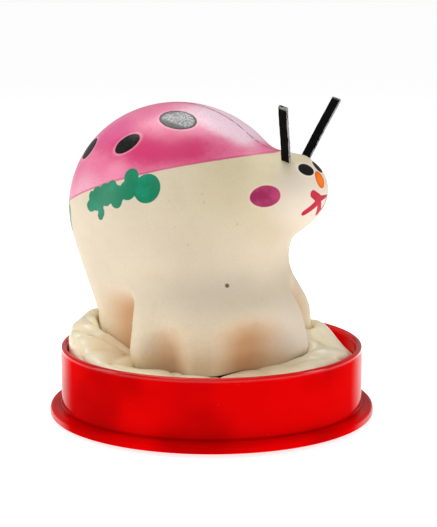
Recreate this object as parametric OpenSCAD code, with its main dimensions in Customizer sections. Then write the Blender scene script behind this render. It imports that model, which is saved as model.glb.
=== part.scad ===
// Wind-up ladybird toy: a latex figure in a round plastic dish, driven by a
// clockwork motor. +X is forward (the figure's nose), +Z is up, and the origin
// is the centre of the flat underside.

/* [Dish] */
// Outer radius of the foot flange
flange_r = 40; // [38:0.5:50]
// How far the flange stands out from the wall
flange_reach = 2.9; // [1.5:0.1:5]
// Thickness of the flange
flange_h = 2.5; // [1.5:0.1:4]
// Thickness of the wall
wall_t = 1.5; // [1:0.1:2]
// Height of the rim
rim_z = 17; // [16:0.5:24]
// Radius of the rounded edges of flange and rim
edge_r = 0.6; // [0.2:0.1:0.7]
// Thickness of the ledge inside the wall
ledge_h = 1.5; // [1:0.1:3]
// Radius of the screw bosses
boss_r = 2.6; // [2:0.1:3.2]
// Height of the screw bosses above the underside
boss_z = 8; // [6:0.5:9]
// Number of screws that hold the bottom plate
screws = 4; // [4:4:8]
// Thread radius of the screws
screw_r = 1.1; // [0.8:0.1:1.4]
// Head radius of the countersunk screws
screw_head_r = 2.2; // [1.8:0.1:2.6]

/* [Bottom plate] */
// Thickness of the tinplate bottom
plate_t = 1.2; // [0.8:0.1:1.5]
// Gap around the bottom plate
plate_gap = 0.15; // [0.05:0.05:0.4]
// Clearance around each wheel where it passes through the plate
slot_gap = 0.7; // [0.4:0.1:1.2]

/* [Figure] */
// Length, width and height radii of the domed back
dome_r = [28.7, 24, 26.2];
// Height of the dome's centre above the figure's lower edge
dome_up = 35.65; // [30:0.5:42]
// How far the dome's centre lies behind the dish's centre
dome_back = 9; // [5:0.5:12]
// Length, width and height radii of the head
head_r = [8.3, 10.5, 8.5];
// Height of the head's centre above the figure's lower edge
head_up = 42.1; // [38:0.5:48]
// How far the head's centre lies in front of the dish's centre
head_ahead = 21.75; // [18:0.5:25]
// Length, width and height radii of the trunk
trunk_r = [24.3, 22, 23.2];
// Height of the trunk's centre above the figure's lower edge
trunk_up = 19.8; // [16:0.5:24]
// Length, width and height radii of the foot
foot_r = [24.2, 25, 14.4];
// Height of the widest part of the foot above the figure's lower edge
foot_up = 10.5; // [8:0.5:12]
// Wall thickness of the latex
skin_t = 1.4; // [1:0.1:2]
// Depth of the hollows between the legs
hollow_d = 3; // [1:0.25:4]
// Half width of one leg, in degrees
leg_half = 22; // [16:1:26]
// How far the figure's lower edge lies below the rim
foot_drop = 3; // [2:0.5:5]
// Gap between the figure and the gathered skirt
skirt_gap = 0.5; // [0.3:0.1:1]
// Height of the skirt's crest above the rim
skirt_crest = 3; // [1:0.5:6]
// Height of the hoop that holds the skirt's hem
hoop_h = 3; // [2:0.5:5]
// Radial thickness of the hem hoop
hoop_t = 1.2; // [0.8:0.1:1.6]

/* [Antennae] */
// Width of an antenna strip
antenna_w = 2.2; // [1.5:0.1:3]
// Thickness of an antenna strip
antenna_t = 0.7; // [0.4:0.1:1.2]
// Length of an antenna above the head
antenna_len = 16.6; // [12:0.2:20]
// Distance of each antenna's root from the middle of the head
antenna_side = 5; // [3:0.5:7]
// Lean of the antennae, sideways and forwards, in degrees
antenna_lean = [32.5, 15.5];
// Depth of an antenna's root in the skin
antenna_root = 1; // [0.5:0.1:1.2]

/* [Gear train] */
// Gear module
gear_m = 0.5; // [0.45:0.01:0.6]
// Teeth of the great wheel
great_n = 36; // [32:1:40]
// Teeth of the second pinion
second_pinion_n = 10; // [10:1:12]
// Teeth of the second wheel
second_n = 32; // [28:1:34]
// Teeth of the axle pinion
axle_pinion_n = 8; // [8:1:10]
// Direction from the drive axle to the second arbor, in degrees
second_at = 126.87; // [120:1:135]
// Direction from the second arbor to the winding arbor, in degrees
great_at = 192.5; // [188:1:200]
// Thickness of the wheels
wheel_t = 1; // [0.6:0.1:1.2]
// Extra width of each pinion beyond the wheel that it drives or follows
pinion_over = 0.25; // [0.1:0.05:0.4]
// Radius of the winding arbor
arbor_r = 1.5; // [1.2:0.1:1.8]
// Radius of the second arbor between the plates
second_r = 1.1; // [0.9:0.1:1.3]
// Radius of the second arbor's pivots
pivot_r = 0.7; // [0.5:0.1:0.9]
// Radial clearance of every shaft that turns in a hole
fit = 0.05; // [0.02:0.01:0.1]
// Least gap between pieces that move past each other
gap = 0.35; // [0.3:0.05:0.5]

/* [Ratchet and mainspring] */
// Teeth of the ratchet wheel
ratchet_n = 24; // [24:24:24]
// Outer radius of the ratchet wheel
ratchet_r = 5.1; // [4.8:0.1:5.2]
// Depth of the ratchet teeth
ratchet_d = 0.8; // [0.5:0.1:0.9]
// Thickness of the mainspring's strip
spring_t = 0.35; // [0.2:0.05:0.4]
// Width of the mainspring's strip
spring_w = 5; // [3:0.5:5.2]
// Turns of the mainspring
spring_turns = 6; // [4:1:8]

/* [Motor frame] */
// Distance between the two frame plates
frame_gap = 13.2; // [13:0.1:15]
// Thickness of the frame plates
frame_t = 0.8; // [0.6:0.1:1]
// Radius of the pillars
pillar_r = 1.2; // [1:0.1:1.4]
// Width of the frame plates' feet, outwards
foot_w = 4; // [3.6:0.1:4.2]
// Rivet radius
rivet_r = 0.9; // [0.7:0.1:1.1]

/* [Drive wheels] */
// How far the drive axle lies in front of the dish's centre
axle_ahead = 10; // [8:0.5:12]
// Outer radius of the tyres
tyre_r = 7; // [6.5:0.1:8.4]
// Radial thickness of the tyres
tyre_t = 1.1; // [0.8:0.1:1.6]
// Width of the wheels
drive_w = 3; // [2.4:0.1:3.6]
// Radius of the drive axle
axle_r = 1; // [0.8:0.05:1.1]
// How far all wheels reach below the flat underside
wheel_drop = 1; // [0.5:0.1:1.5]

/* [Caster] */
// How far the caster's swivel lies behind the dish's centre
caster_back = 21.5; // [21:0.25:22]
// Radius of the caster wheel
caster_r = 3; // [2.6:0.1:3.2]
// Width of the caster wheel
caster_w = 2.5; // [2:0.1:3]
// Trail of the caster wheel
caster_trail = 1.2; // [0.8:0.1:1.6]
// Thickness of the caster's sheet metal
caster_t = 0.7; // [0.5:0.1:0.9]
// Radius of the caster's pivot
caster_pivot_r = 0.8; // [0.6:0.1:1]
// Radius of the caster's axle
caster_axle_r = 0.5; // [0.4:0.05:0.6]

/* [Key] */
// Radius of the key's hub
key_hub_r = 2.6; // [2.2:0.1:3]
// Radius of each of the key's two round blades
key_blade_r = 4.6; // [4:0.1:5]
// Thickness of the key's blades
key_t = 1.4; // [1:0.1:1.8]
// Gap between the flange and the key
key_gap = 1.8; // [1:0.1:4]
// Radius of the hole in the dish's wall
key_hole_r = 2.4; // [2.2:0.1:2.8]

/* [Hidden] */
$fn = 96;

// ---- Derived places and sizes ----
wall_r = flange_r - flange_reach;
wall_in = wall_r - wall_t;
ledge_z = plate_t + ledge_h;
recess_step = 0.35;
recess_in = wall_in - recess_step;
plate_r = recess_in - plate_gap;
hem_gap = 0.25;
skirt_t = 1.2;
skirt_out = wall_in - hem_gap;
hoop_fit = 0.05;
hoop_out = skirt_out - skirt_t - hoop_fit;
boss_clear = 0.45;
ledge_over = 0.4;
boss_at = hoop_out - hoop_t - boss_r - boss_clear;
ledge_in = boss_at - boss_r - ledge_over;
rim_step = 0.5;

centre_1 = gear_m * (great_n + second_pinion_n) / 2;
centre_2 = gear_m * (second_n + axle_pinion_n) / 2;
axle_at = [axle_ahead, tyre_r - wheel_drop];
second_pos = axle_at + centre_2 * [cos(second_at), sin(second_at)];
great_pos = second_pos + centre_1 * [cos(great_at), sin(great_at)];

// Teeth: height above and depth below the pitch circle, and half a tooth's share of its pitch
tooth_add = 0.8;
tooth_drop = 1.15;
tooth_share = 0.46;
pressure_angle = 20;
great_out = gear_m * (great_n / 2 + tooth_add);
second_out = gear_m * (second_n / 2 + tooth_add);

frame_in = frame_gap / 2;
frame_out = frame_in + frame_t;
wheel_off = 3;
wheel_in = frame_out + wheel_off;
shaft_end = 0.5;
wheel_mid = wheel_in + drive_w / 2;
slot_half = sqrt(pow(tyre_r, 2) - pow(axle_at[1] - plate_t, 2)) + slot_gap;

// Caster: fork and bridge clear the circle that its wheel sweeps
caster_axle_z = caster_r - wheel_drop;
swivel_x = -caster_back;
caster_x = swivel_x - caster_trail;
caster_sweep = norm([caster_trail + caster_r, caster_w / 2]);
fork_in = caster_w / 2 + gap;
fork_top = caster_axle_z + caster_r + gap;
bridge_z = fork_top + caster_t + gap;
caster_side = 0.8;
caster_leg = caster_sweep + caster_side;
bridge_len = 5;
bracket_foot = 3.4;

// Stations along the shafts, from the right plate to the left one
spring_side = 0.6;
spring_y = -frame_in + spring_side;
pin_head_room = 1.3;
ratchet_y = spring_y + spring_w + pin_head_room;
ratchet_t = 1.2;
ratchet_side = 0.5;
great_y = ratchet_y + ratchet_t + ratchet_side;
hub_y = great_y + wheel_t;
second_side = 1.2;
second_y = hub_y + second_side;
second_t = 0.8 * wheel_t;

// Pillars stand clear of the wheels that sweep past them
pillar_clear = pillar_r + gap;
eye_at = 137;
top_at = 41;
spring_reach = (great_out + pillar_clear + 0.25) * [cos(eye_at), sin(eye_at)];
pillar_low = great_pos + [spring_reach[0], -spring_reach[1]];
pillar_eye = great_pos + spring_reach;
pillar_top = second_pos + (second_out + pillar_clear + 0.6) * [cos(top_at), sin(top_at)];
pillar_nose = axle_at + [5.5, -2];
PILLARS = [pillar_low, pillar_eye, pillar_top, pillar_nose];

// Click: places in the great wheel's plane, with its tip's tooth at angle 0
click_root = ratchet_r - ratchet_d;
click_pivot = [ratchet_r - 0.28, -5.35];
click_boss_r = 1.3;
click_pin_r = 0.6;
click_turn = 90;
click_t = 1.1;

skin_z = max(rim_z - foot_drop, great_pos[1] + arbor_r + 1);
key_y = flange_r + key_gap;

// ---- Helpers ----
function arc(c, r, a, b, n = 8) =
    [for (i = [0:n]) c + r * [cos(a + (b - a) * i / n), sin(a + (b - a) * i / n)]];
function turned(p, a) = [p[0] * cos(a) - p[1] * sin(a), p[0] * sin(a) + p[1] * cos(a)];

// Draws in the X-Z plane and gives the drawing a thickness along Y
module along_y(y, h) translate([0, y + h, 0]) rotate([90, 0, 0]) linear_extrude(h) children();
module rod_y(at, r, y0, y1) translate([at[0], y1, at[1]]) rotate([90, 0, 0]) cylinder(r = r, h = y1 - y0);
module mirrored_y() { children(); mirror([0, 1, 0]) children(); }

// Involute tooth flanks as half angles: the tooth narrows from root to tip
function spread(r, base) = r > base ? let (a = acos(base / r)) tan(a) * 180 / PI - a : 0;
function gear_points(n) =
    let (pitch = n * gear_m / 2, base = pitch * cos(pressure_angle), tip = pitch + tooth_add * gear_m,
         root = pitch - tooth_drop * gear_m, half = tooth_share * 180 / n + spread(pitch, base),
         low = max(base, root),
         flank = [root, low, (low + tip) / 2, tip])
    [for (k = [0:n - 1], i = [0:7])
        let (r = flank[i < 4 ? i : 7 - i], a = 360 * k / n + (i < 4 ? -1 : 1) * (half - spread(r, base)))
        r * [cos(a), sin(a)]];
// Rotation that puts a gear in mesh with one that stands at rotation 0
function mesh_turn(direction, n_first, n) =
    direction + 180 - 180 / n + direction * n_first / n;
module gear(n, bore, at, y, h, turn = 0) {
    difference() {
        translate([at[0], 0, at[1]]) rotate([0, -turn, 0]) along_y(y, h) polygon(gear_points(n));
        rod_y(at, bore, y - 1, y + h + 1);
    }
}

// ---- Figure: a smooth blend of four ellipsoids, standing on lobed legs ----
LEGS = [16, 62, 107, 150, -16, -62, -107, -150];
ROWS = 26;
SPOKES = 40;
neck_blend = 10;
trunk_blend = 6;
dome_tilt = -2.3;
trunk_back = 7;
foot_back = 0.35;
// Height over which the hollows run out above the foot's widest part
hollow_fade = 4.5;
function blend(a, b, k) = let (h = max(k - abs(a - b), 0) / k) min(a, b) - h * h * k / 4;
function ellipsoid(p, c, r, tilt = 0) =
    let (d = [p[0] - c[0], p[2] - c[1]],
         q = [(d[0] * cos(tilt) + d[1] * sin(tilt)) / r[0], p[1] / r[1],
              (d[1] * cos(tilt) - d[0] * sin(tilt)) / r[2]],
         k = norm(q) + 1e-9)
    k * (k - 1) / (norm([q[0] / r[0], q[1] / r[1], q[2] / r[2]]) + 1e-9);
function leg_swell(a) =
    max([for (leg = LEGS) let (d = abs((a - leg + 540) % 360 - 180))
        d < leg_half ? pow(cos(90 * d / leg_half), 2) : 0]);
function hollow(p) =
    let (s = max(0, min(1, (foot_up + hollow_fade - p[2]) / (2 * hollow_fade))))
    s > 0 ? hollow_d * s * s * (3 - 2 * s) * (1 - leg_swell(atan2(p[1], p[0]))) : 0;
// Rough distance from the skin's outside, with heights above the lower edge
function skin_field(p) =
    let (q = [p[0], p[1], max(p[2], foot_up)],
         dome = ellipsoid(q, [-dome_back, dome_up], dome_r, dome_tilt),
         head = ellipsoid(q, [head_ahead, head_up], head_r),
         trunk = ellipsoid(q, [-trunk_back, trunk_up], trunk_r),
         foot = ellipsoid(q, [-foot_back, foot_up], foot_r))
    blend(blend(blend(dome, head, neck_blend), trunk, trunk_blend), foot, trunk_blend) + hollow(p);
function reach(o, d, inset, lo = 0, hi = 60, n = 12) =
    n == 0 ? (lo + hi) / 2
    : let (m = (lo + hi) / 2)
      skin_field(o + d * m) < -inset ? reach(o, d, inset, m, hi, n - 1) : reach(o, d, inset, lo, m, n - 1);
// Lower rows look outwards from an upright axis, upper rows fan up to the crown
LOW_ROWS = 9;
fan_x = -8;
fan_z = 16;
fan_rise = 16;
function row_origin(i) =
    let (w = i / LOW_ROWS, v = (i - LOW_ROWS) / (ROWS - LOW_ROWS))
    i < LOW_ROWS ? [fan_x * w, 0, fan_z * w] : [fan_x, 0, fan_z + fan_rise * min(1, 1.6 * v)];
function row_rise(i) = i < LOW_ROWS ? 0 : 90 * (i - LOW_ROWS) / (ROWS - LOW_ROWS);
function skin_ring(i, inset) =
    [for (j = [0:SPOKES - 1])
        let (a = 360 * j / SPOKES, e = row_rise(i), o = row_origin(i),
             d = [cos(e) * cos(a), cos(e) * sin(a), sin(e)])
        o + d * reach(o, d, inset)];
function skin_sheet(inset) =
    let (top = row_origin(ROWS))
    concat([for (i = [0:ROWS - 1]) each skin_ring(i, inset)],
           [top + [0, 0, reach(top, [0, 0, 1], inset)]]);
function quad(a, b, c, d, flip) = flip ? [[a, b, c], [a, c, d]] : [[c, b, a], [d, c, a]];
function sheet_faces(first, flip) =
    concat(
        [for (i = [0:ROWS - 2], j = [0:SPOKES - 1])
            let (n = (j + 1) % SPOKES, a = first + i * SPOKES)
            each quad(a + j, a + n, a + SPOKES + n, a + SPOKES + j, flip)],
        [for (j = [0:SPOKES - 1])
            let (n = (j + 1) % SPOKES, a = first + (ROWS - 1) * SPOKES, pole = first + ROWS * SPOKES)
            flip ? [a + j, a + n, pole] : [pole, a + n, a + j]]);
// Widest the foot gets, which the skirt stands clear of
foot_reach = max([for (p = skin_ring(round(LOW_ROWS * foot_up / fan_z), 0)) norm([p[0], p[1]])]);

// ---- Dish ----
function ring_profile() = concat(
    [[recess_in, 0]],
    arc([flange_r - edge_r, edge_r], edge_r, -90, 0),
    arc([flange_r - 2 * edge_r, flange_h - 2 * edge_r], 2 * edge_r, 0, 90),
    [[wall_r, flange_h]],
    arc([wall_r - edge_r, rim_z - edge_r], edge_r, 0, 90),
    [[wall_in + rim_step, rim_z], [wall_in + rim_step, rim_z - rim_step], [wall_in, rim_z - 0.8],
     [wall_in, ledge_z], [ledge_in, ledge_z], [ledge_in, plate_t], [recess_in, plate_t]]);
module at_screws()
    for (k = [0:screws - 1]) rotate([0, 0, 45 + 360 * k / screws]) translate([boss_at, 0, 0]) children();

module base_ring() color("red") difference() {
    union() {
        rotate_extrude() polygon(ring_profile());
        at_screws() translate([0, 0, plate_t]) cylinder(r = boss_r, h = boss_z - plate_t);
    }
    at_screws() translate([0, 0, -1]) cylinder(r = screw_r, h = boss_z);
    rod_y(great_pos, key_hole_r, 0, flange_r);
}

screw_cone = screw_head_r - screw_r;
module base_plate() color("lightsteelblue") difference() {
    cylinder(r = plate_r, h = plate_t);
    mirrored_y()
        translate([axle_at[0] - slot_half, wheel_in - slot_gap, -1])
            cube([2 * slot_half, drive_w + 2 * slot_gap, plate_t + 2]);
    translate([swivel_x, 0, -1]) cylinder(r = caster_sweep + slot_gap, h = plate_t + 2);
    at_screws() {
        translate([0, 0, -1]) cylinder(r = screw_r, h = plate_t + 2);
        cylinder(r1 = screw_head_r, r2 = screw_r, h = min(screw_cone, plate_t - 0.1));
    }
    at_rivets() translate([0, 0, -1]) cylinder(r = rivet_r, h = plate_t + 2);
}
module plate_screws() color("silver") at_screws() {
    cylinder(r1 = screw_head_r, r2 = screw_r, h = min(screw_cone, plate_t - 0.1));
    cylinder(r = screw_r, h = boss_z - plate_t);
}
module hem_hoop() color("white") translate([0, 0, ledge_z]) difference() {
    cylinder(r = hoop_out, h = hoop_h);
    translate([0, 0, -1]) cylinder(r = hoop_out - hoop_t, h = hoop_h + 2);
}

// ---- Latex ----
skirt_in = foot_reach + skirt_gap;
crest_r = (skirt_out - skirt_in) / 2;
crest_z = rim_z + skirt_crest - crest_r;
crest_c = [skirt_in + crest_r, crest_z];
module latex_skirt() color("cornsilk") difference() {
    rotate_extrude() polygon(concat(
        [[skirt_out, ledge_z]],
        arc(crest_c, crest_r, 0, 180),
        [[skirt_in, skin_z], [skirt_in + skirt_t, skin_z]],
        arc(crest_c, crest_r - skirt_t, 180, 0),
        [[skirt_out - skirt_t, ledge_z]]));
    rod_y(great_pos, key_hole_r, 0, flange_r);
}
module figure_skin() color("ivory") translate([0, 0, skin_z]) {
    outer = skin_sheet(0);
    inner = skin_sheet(skin_t);
    count = len(outer);
    hem = [for (j = [0:SPOKES - 1]) let (n = (j + 1) % SPOKES) each quad(j, n, count + n, count + j, false)];
    polyhedron(concat(outer, inner), concat(sheet_faces(0, false), sheet_faces(count, true),
        [for (f = hem) [f[2], f[1], f[0]]]));
}
// Root of an antenna on the head's crown, a little in front of its centre
antenna_x = head_ahead + 1.2;
antenna_z = head_up + reach([antenna_x, antenna_side, head_up], [0, 0, 1], 0);
module antenna() color("black")
    translate([antenna_x, antenna_side, skin_z + antenna_z])
        rotate([-antenna_lean[0], antenna_lean[1], 0])
            translate([-antenna_w / 2, -antenna_t / 2, -antenna_root])
                cube([antenna_w, antenna_t, antenna_len + antenna_root]);
module antenna_left() antenna();
module antenna_right() mirror([0, 1, 0]) antenna();

// ---- Motor frame ----
frame_edge = 1.2;
foot_len = 8;
nose_foot = 3.6;
slot_side = 0.8;
nose_x = axle_at[0] + slot_half + slot_side + nose_foot;
tail_x = pillar_low[0] - pillar_r - frame_edge;
foot_x = great_pos[0] + frame_edge;
rivet_y = frame_out + foot_w / 2 + 0.2;
RIVETS = [[foot_x, rivet_y], [nose_x - nose_foot / 2, rivet_y],
          [swivel_x, caster_leg + caster_t + bracket_foot / 2]];
module at_rivets() for (p = RIVETS) mirrored_y() translate(p) children();
module frame_plate() difference() {
    union() {
        along_y(frame_in, frame_t) polygon([
            [nose_x, plate_t], [tail_x, plate_t],
            [tail_x, pillar_eye[1] + frame_edge], [pillar_eye[0], pillar_eye[1] + pillar_r + frame_edge],
            [pillar_top[0] - 1, pillar_top[1] + pillar_r + 1], [pillar_top[0] + 2, pillar_top[1] + 1],
            [pillar_nose[0] + 2, pillar_nose[1] + 3], [nose_x, plate_t + 3]]);
        translate([foot_x - foot_len / 2, frame_out - 0.01, plate_t])
            cube([foot_len, foot_w + 0.01, frame_t]);
        translate([nose_x - nose_foot, frame_out - 0.01, plate_t]) cube([nose_foot, foot_w + 0.01, frame_t]);
    }
    rod_y(great_pos, arbor_r + fit, 0, frame_out + 1);
    rod_y(second_pos, pivot_r + fit, 0, frame_out + 1);
    rod_y(axle_at, axle_r + fit, 0, frame_out + 1);
    for (p = PILLARS) rod_y(p, tenon_r, 0, frame_out + 1);
    at_rivets() cylinder(r = rivet_r, h = plate_t + frame_t + 1);
}
tenon_r = pillar_r - 0.4;
tenon_head = 0.4;
module frame_plate_left() color("gainsboro") frame_plate();
module frame_plate_right() color("gainsboro") mirror([0, 1, 0]) frame_plate();
module frame_pillars() color("silver") for (p = PILLARS) {
    rod_y(p, pillar_r, -frame_in, frame_in);
    rod_y(p, tenon_r, -frame_out - tenon_head, frame_out + tenon_head);
    mirrored_y() rod_y(p, pillar_r, frame_out, frame_out + tenon_head);
}
rivet_head = [rivet_r + 0.6, 0.5];
module rivet(grip) {
    cylinder(r = rivet_r, h = grip + rivet_head[1] / 2);
    translate([0, 0, grip]) cylinder(r = rivet_head[0], h = rivet_head[1]);
}
module frame_rivets() color("silver") {
    for (k = [0, 1]) mirrored_y() translate(RIVETS[k]) rivet(plate_t + frame_t);
    mirrored_y() translate(RIVETS[2]) rivet(plate_t + caster_t);
}

// ---- Mainspring: wound on the arbor, with its eye round the high rear pillar ----
eye_fit = 0.1;
spring_r0 = arbor_r + 0.6;
spring_r1 = great_out - 1.2;
spring_end = norm(spring_reach) - pillar_r - 0.5;
spring_steps = 24;
function spring_line(side) =
    [for (i = [0:spring_steps * (spring_turns + 0.5)])
        let (turns = i / spring_steps, free = max(0, turns - spring_turns) * 2,
             r = spring_r0 + (spring_r1 - spring_r0) * min(1, turns / spring_turns)
                 + (spring_end - spring_r1) * free,
             a = eye_at + 360 * (spring_turns + 0.5 - turns))
        great_pos + (r + side * spring_t / 2) * [cos(a), sin(a)]];
function backwards(v) = [for (i = [len(v) - 1:-1:0]) v[i]];
module mainspring() color("slategray") {
    along_y(spring_y, spring_w) polygon(concat(spring_line(-1), backwards(spring_line(1))));
    difference() {
        rod_y(pillar_eye, pillar_r + eye_fit + 2 * spring_t, spring_y, spring_y + spring_w);
        rod_y(pillar_eye, pillar_r + eye_fit, spring_y - 1, spring_y + spring_w + 1);
    }
}

// ---- Great wheel and click ----
module at_great(turn = 0) translate([great_pos[0], 0, great_pos[1]]) rotate([0, -turn, 0]) children();
hub_wall = 1.1;
great_hub = 0.85;
great_hole = [5.7, 1.5];
module great_wheel() color("goldenrod") difference() {
    union() {
        gear(great_n, arbor_r + fit, great_pos, great_y, wheel_t);
        rod_y(great_pos, arbor_r + hub_wall, great_y, hub_y + great_hub);
    }
    rod_y(great_pos, arbor_r + fit, great_y - 1, hub_y + 2);
    for (a = [180, 230, 280]) at_great(a) rod_y([great_hole[0], 0], great_hole[1], great_y - 1, hub_y + 1);
    at_great(click_turn) rod_y(click_pivot, click_pin_r, great_y - 1, hub_y + 1);
    at_great(click_turn) rod_y(click_spring_at, click_pin_r, great_y - 1, hub_y + 1);
}
module click_pin() color("silver") at_great(click_turn) {
    rod_y(click_pivot, click_pin_r, ratchet_y - 0.5, hub_y);
    rod_y(click_pivot, click_boss_r - 0.2, ratchet_y - 0.8, ratchet_y - gap);
}
click_spring_at = [7.5, -3.4];
module click_spring() color("slategray") at_great(click_turn) {
    rod_y(click_spring_at, click_pin_r, ratchet_y, hub_y);
    along_y(ratchet_y, click_t - 0.2) polygon([
        click_spring_at + [-0.2, 0], click_spring_at + [0.2, 0.3],
        [click_back[0] + 0.35, click_back[1] + 0.1], [click_back[0] + 0.08, click_back[1]]]);
}
click_back = [6.2, -1.4];
module ratchet_click() color("silver") at_great(click_turn) difference() {
    union() {
        along_y(ratchet_y, click_t) polygon([
            [click_root + 0.25, -0.12], [click_root + 1.65, -0.12], click_back,
            [click_pivot[0] + 1.2, click_pivot[1] + 0.4], [click_pivot[0] - 1, click_pivot[1] + 0.8],
            [ratchet_r + 0.35, -1.6]]);
        rod_y(click_pivot, click_boss_r, ratchet_y, ratchet_y + click_t);
    }
    rod_y(click_pivot, click_pin_r + fit, ratchet_y - 1, ratchet_y + click_t + 1);
}

// ---- Winding arbor, ratchet wheel and key ----
key_socket = 6;
key_hub_len = 7.5;
collar = [arbor_r + 0.9, 1];
module winding_arbor() color("silver") {
    rod_y(great_pos, arbor_r, -frame_out - shaft_end, key_y + key_socket);
    rod_y(great_pos, collar[0], frame_out + gap, frame_out + gap + collar[1]);
}
module ratchet_wheel() color("silver") difference() {
    at_great() along_y(ratchet_y, ratchet_t) polygon([for (k = [0:ratchet_n - 1], r = [click_root, ratchet_r])
        r * [cos(360 * k / ratchet_n), sin(360 * k / ratchet_n)]]);
    rod_y(great_pos, arbor_r, ratchet_y - 1, ratchet_y + ratchet_t + 1);
}
blade_y = key_y + key_blade_r;
blade_x = key_blade_r + 0.4;
blade_hole = [key_blade_r + 1.2, key_blade_r - 2.7];
module winding_key() color("silver") difference() {
    union() {
        rod_y(great_pos, key_hub_r, key_y, key_y + key_hub_len);
        for (side = [-1, 1])
            translate([great_pos[0] + side * blade_x, blade_y, great_pos[1] - key_t / 2])
                cylinder(r = key_blade_r, h = key_t);
    }
    rod_y(great_pos, arbor_r, key_y - 1, key_y + key_socket);
    for (side = [-1, 1])
        translate([great_pos[0] + side * blade_hole[0], blade_y, great_pos[1] - key_t])
            cylinder(r = blade_hole[1], h = 2 * key_t);
}

// ---- Second arbor ----
module second_arbor() color("silver") {
    rod_y(second_pos, second_r, -frame_in + gap, frame_in - gap);
    rod_y(second_pos, pivot_r, -frame_out - shaft_end, frame_out + shaft_end);
}
module second_pinion() color("goldenrod")
    gear(second_pinion_n, second_r, second_pos, great_y - pinion_over, wheel_t + 2 * pinion_over,
         mesh_turn(great_at + 180, great_n, second_pinion_n));
second_hole = [4.6, 1.6];
module second_wheel() color("goldenrod") difference() {
    gear(second_n, second_r, second_pos, second_y, second_t);
    for (a = [45:90:315])
        translate([second_pos[0], 0, second_pos[1]]) rotate([0, a, 0])
            rod_y([second_hole[0], 0], second_hole[1], second_y - 1, second_y + 2);
}

// ---- Drive axle and wheels ----
axle_half = wheel_in + drive_w + shaft_end;
module drive_axle() color("silver") rod_y(axle_at, axle_r, -axle_half, axle_half);
module axle_pinion() color("goldenrod")
    gear(axle_pinion_n, axle_r, axle_at, second_y - pinion_over, second_t + 2 * pinion_over,
         mesh_turn(second_at + 180, second_n, axle_pinion_n));
rim_r = tyre_r - tyre_t;
rim_wall = 1;
dish_d = 1;
module drive_wheel() difference() {
    union() {
        rod_y(axle_at, rim_r, wheel_in, wheel_in + drive_w);
        rod_y(axle_at, axle_r + hub_wall, frame_out + gap, wheel_in + drive_w);
    }
    difference() {
        rod_y(axle_at, rim_r - rim_wall, wheel_in + drive_w - dish_d, wheel_in + drive_w + 1);
        rod_y(axle_at, axle_r + hub_wall, wheel_in, wheel_in + drive_w + 2);
    }
    rod_y(axle_at, axle_r, 0, wheel_in + drive_w + 1);
}
module drive_wheel_left() color("crimson") drive_wheel();
module drive_wheel_right() color("crimson") mirror([0, 1, 0]) drive_wheel();
tyre_edge = 0.35;
module tyre() translate([axle_at[0], wheel_mid, axle_at[1]]) rotate([90, 0, 0]) rotate_extrude() polygon([
    [rim_r, -drive_w / 2], [tyre_r - tyre_edge, -drive_w / 2], [tyre_r, -drive_w / 2 + tyre_edge],
    [tyre_r, drive_w / 2 - tyre_edge], [tyre_r - tyre_edge, drive_w / 2], [rim_r, drive_w / 2]]);
module tyre_left() color("dimgray") tyre();
module tyre_right() color("dimgray") mirror([0, 1, 0]) tyre();

// ---- Caster ----
module caster_bracket() color("gainsboro") difference() {
    union() {
        translate([swivel_x - bridge_len / 2, -caster_leg - caster_t, bridge_z])
            cube([bridge_len, 2 * (caster_leg + caster_t), caster_t]);
        mirrored_y() {
            translate([swivel_x - bridge_len / 2, caster_leg, plate_t])
                cube([bridge_len, caster_t, bridge_z - plate_t + 0.01]);
            translate([swivel_x - bridge_len / 2, caster_leg, plate_t])
                cube([bridge_len, caster_t + bracket_foot, caster_t]);
        }
    }
    translate([swivel_x, 0, bridge_z - 1]) cylinder(r = caster_pivot_r + fit, h = caster_t + 2);
    at_rivets() cylinder(r = rivet_r, h = plate_t + caster_t + 1);
}
fork_edge = 1.1;
module caster_fork() color("silver") difference() {
    union() {
        translate([swivel_x, 0, fork_top]) cylinder(r = fork_in + caster_t + 0.4, h = caster_t);
        mirrored_y() translate([caster_x - fork_edge, fork_in, caster_axle_z - fork_edge])
            cube([caster_trail + 2, caster_t, fork_top - caster_axle_z + fork_edge + 0.01]);
    }
    translate([swivel_x, 0, fork_top - 1]) cylinder(r = caster_pivot_r, h = caster_t + 2);
    rod_y([caster_x, caster_axle_z], caster_axle_r, -fork_in - 2, fork_in + 2);
}
pivot_head = [caster_pivot_r + 0.8, 0.6];
module caster_pivot() color("silver") translate([swivel_x, 0, 0]) {
    translate([0, 0, fork_top]) cylinder(r = caster_pivot_r, h = bridge_z - fork_top + caster_t + gap + 0.2);
    translate([0, 0, bridge_z + caster_t + gap]) cylinder(r = pivot_head[0], h = pivot_head[1]);
}
caster_axle_half = fork_in + caster_t + 0.2;
module caster_axle() color("silver")
    rod_y([caster_x, caster_axle_z], caster_axle_r, -caster_axle_half, caster_axle_half);
module caster_wheel() color("ivory") difference() {
    rod_y([caster_x, caster_axle_z], caster_r, -caster_w / 2, caster_w / 2);
    rod_y([caster_x, caster_axle_z], caster_axle_r + fit, -caster_w, caster_w);
}

base_ring();
base_plate();
plate_screws();
hem_hoop();
latex_skirt();
figure_skin();
antenna_left();
antenna_right();
frame_plate_left();
frame_plate_right();
frame_pillars();
frame_rivets();
mainspring();
great_wheel();
click_pin();
click_spring();
ratchet_click();
winding_arbor();
ratchet_wheel();
winding_key();
second_arbor();
second_pinion();
second_wheel();
drive_axle();
axle_pinion();
drive_wheel_left();
drive_wheel_right();
tyre_left();
tyre_right();
caster_bracket();
caster_fork();
caster_pivot();
caster_axle();
caster_wheel();
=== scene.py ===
# Wind-up ladybird: a latex figure gathered into a red plastic dish, with its clockwork inside.
# +X is forward, +Z is up. Lengths are in metres; MM turns the drawing's millimetres into metres.
from math import cos, pi, radians, sin

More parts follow.
